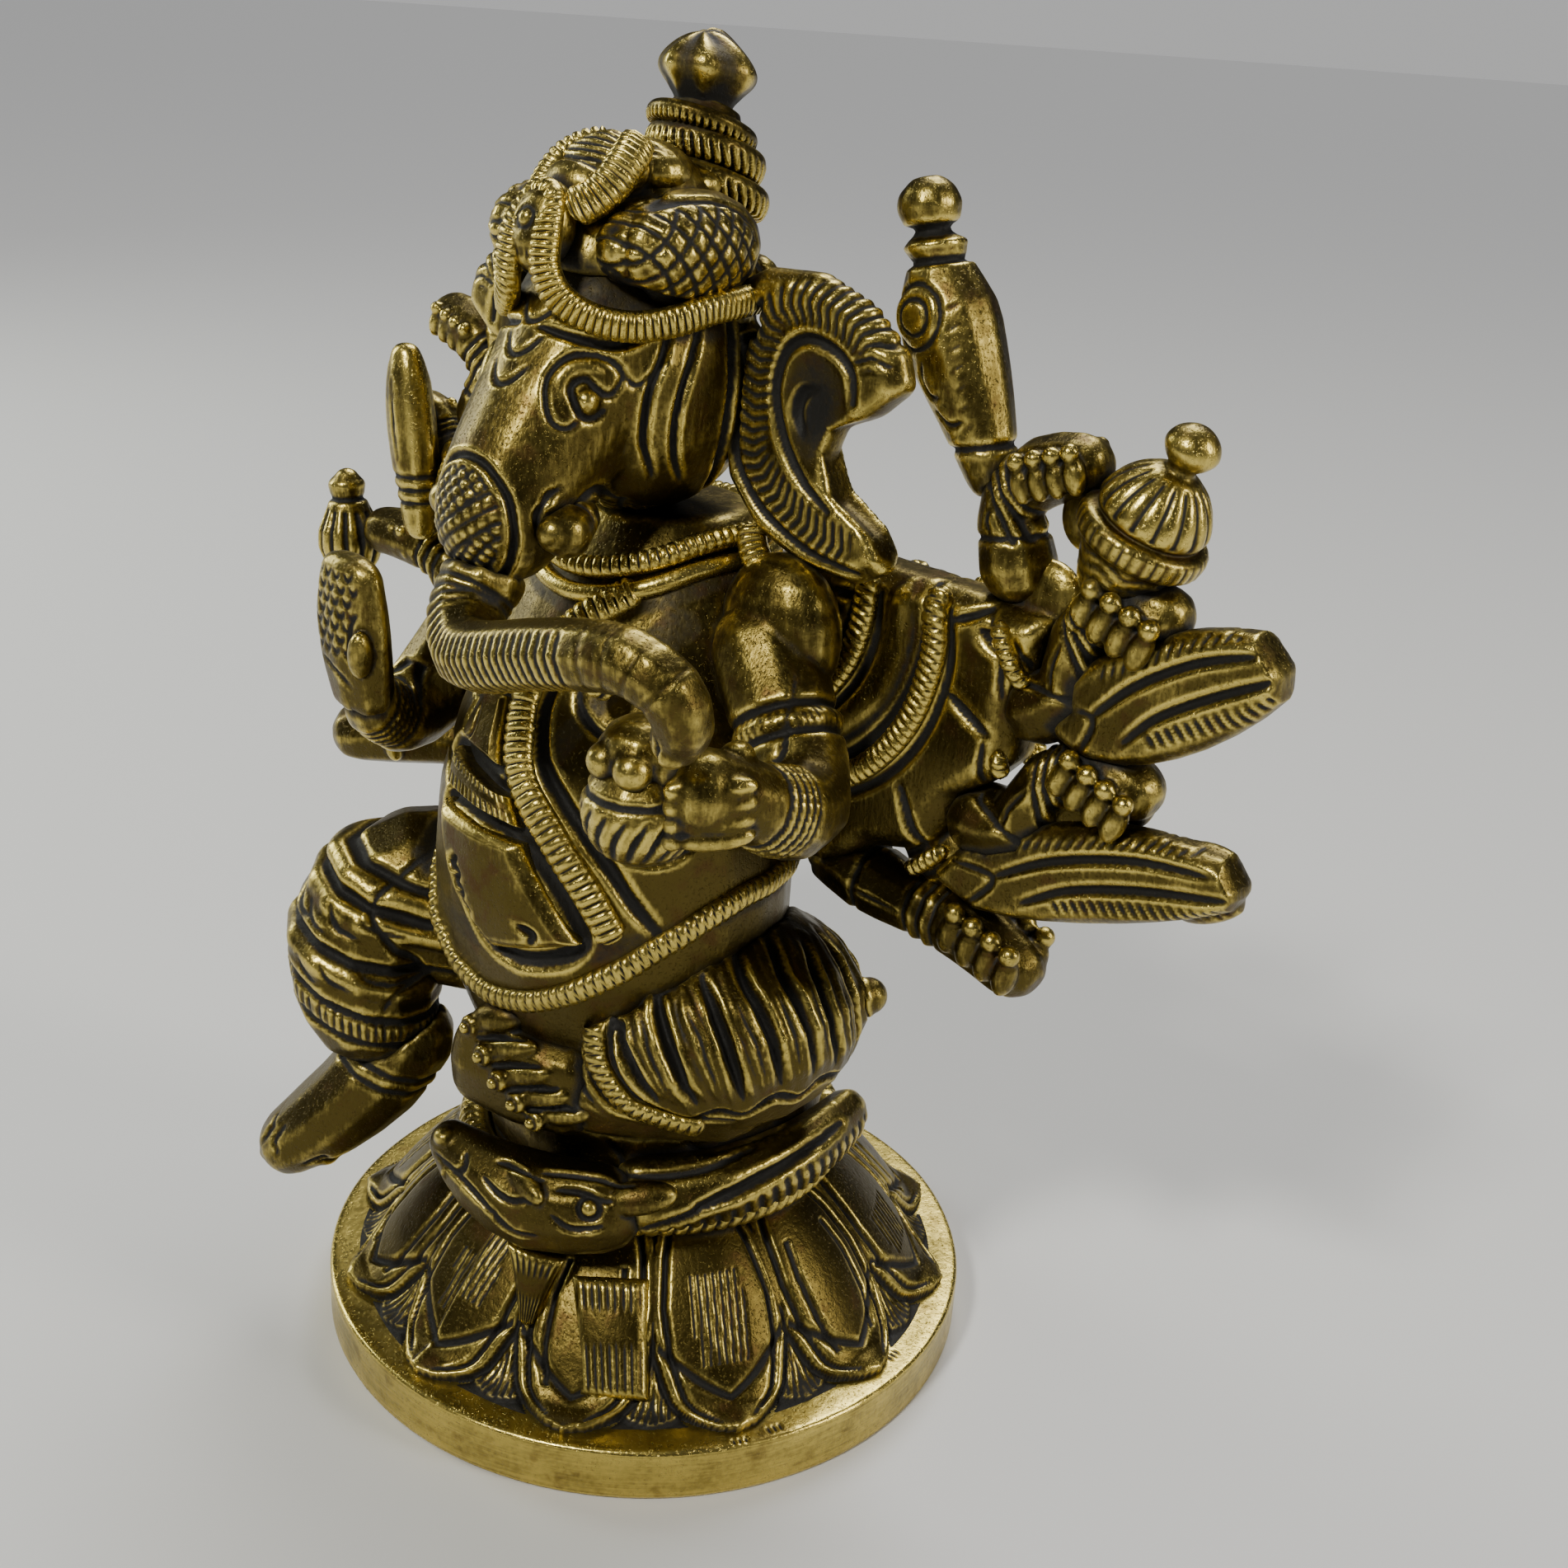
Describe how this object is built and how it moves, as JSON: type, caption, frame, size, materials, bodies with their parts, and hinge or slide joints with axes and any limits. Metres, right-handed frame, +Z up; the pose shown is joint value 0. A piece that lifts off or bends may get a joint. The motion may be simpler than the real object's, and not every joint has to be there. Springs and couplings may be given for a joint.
{
  "type": "seated elephant-headed deity statuette",
  "caption": "Cast brass elephant-headed, many-armed deity seated on a lotus dome over a round disc, with a mouse at the front and a fan of arms holding emblems",
  "frame": {"origin": "centre of the flat underside of the base disc", "axes": "+Z up, the figure faces -Y, +X is the figure's left"},
  "size_m": [0.0842, 0.0483, 0.0906],
  "materials": {
    "brass_body": "antique brass, dark patina in the recesses, rubbed bright on the high points",
    "brass_bright": "rubbed brass with fine scratches",
    "brass_trim": "notched antique brass, dark between the notches",
    "brass_rim": "file-brushed brass rim with dull patches"
  },
  "bodies": {
    "root": {"base_disc": "brass_rim", "bell": "brass_bright", "belly_sash": "brass_trim", "belt": "brass_trim", "blade": "brass_bright", "bud": "brass_bright", "club": "brass_bright", "crown_band": "brass_trim", "crown_cap": "brass_body", "crown_curl": "brass_body", "crown_front": "brass_body", "crown_pad_left": "brass_body", "crown_pad_right": "brass_body", "crown_ring_lower": "brass_body", "crown_ring_middle": "brass_body", "crown_ring_upper": "brass_body", "ear_left": "brass_body", "ear_right": "brass_body", "finial": "brass_bright", "folded_leg": "brass_body", "front_left_arm": "brass_body", "front_right_arm": "brass_body", "goad": "brass_bright", "head": "brass_body", "leaf_lower": "brass_bright", "leaf_upper": "brass_bright", "left_arm_1": "brass_body", "left_arm_2": "brass_body", "left_arm_3": "brass_body", "left_arm_4": "brass_body", "left_armlet": "brass_trim", "left_fan": "brass_body", "left_foot": "brass_body", "lotus_dome": "brass_body", "mouse_body": "brass_body", "mouse_head": "brass_body", "necklace": "brass_trim", "pendant_leg": "brass_body", "raised_palm": "brass_body", "right_arm_1": "brass_body", "right_arm_2": "brass_body", "right_arm_3": "brass_body", "right_arm_4": "brass_body", "right_armlet": "brass_trim", "right_fan": "brass_body", "right_foot": "brass_body", "sacred_thread": "brass_trim", "seat": "brass_body", "seat_rope": "brass_trim", "sweet_bowl": "brass_body", "sweets": "brass_bright", "torso": "brass_body", "trunk": "brass_body", "tusk_left": "brass_body", "tusk_right": "brass_body"}
  },
  "joints": []
}
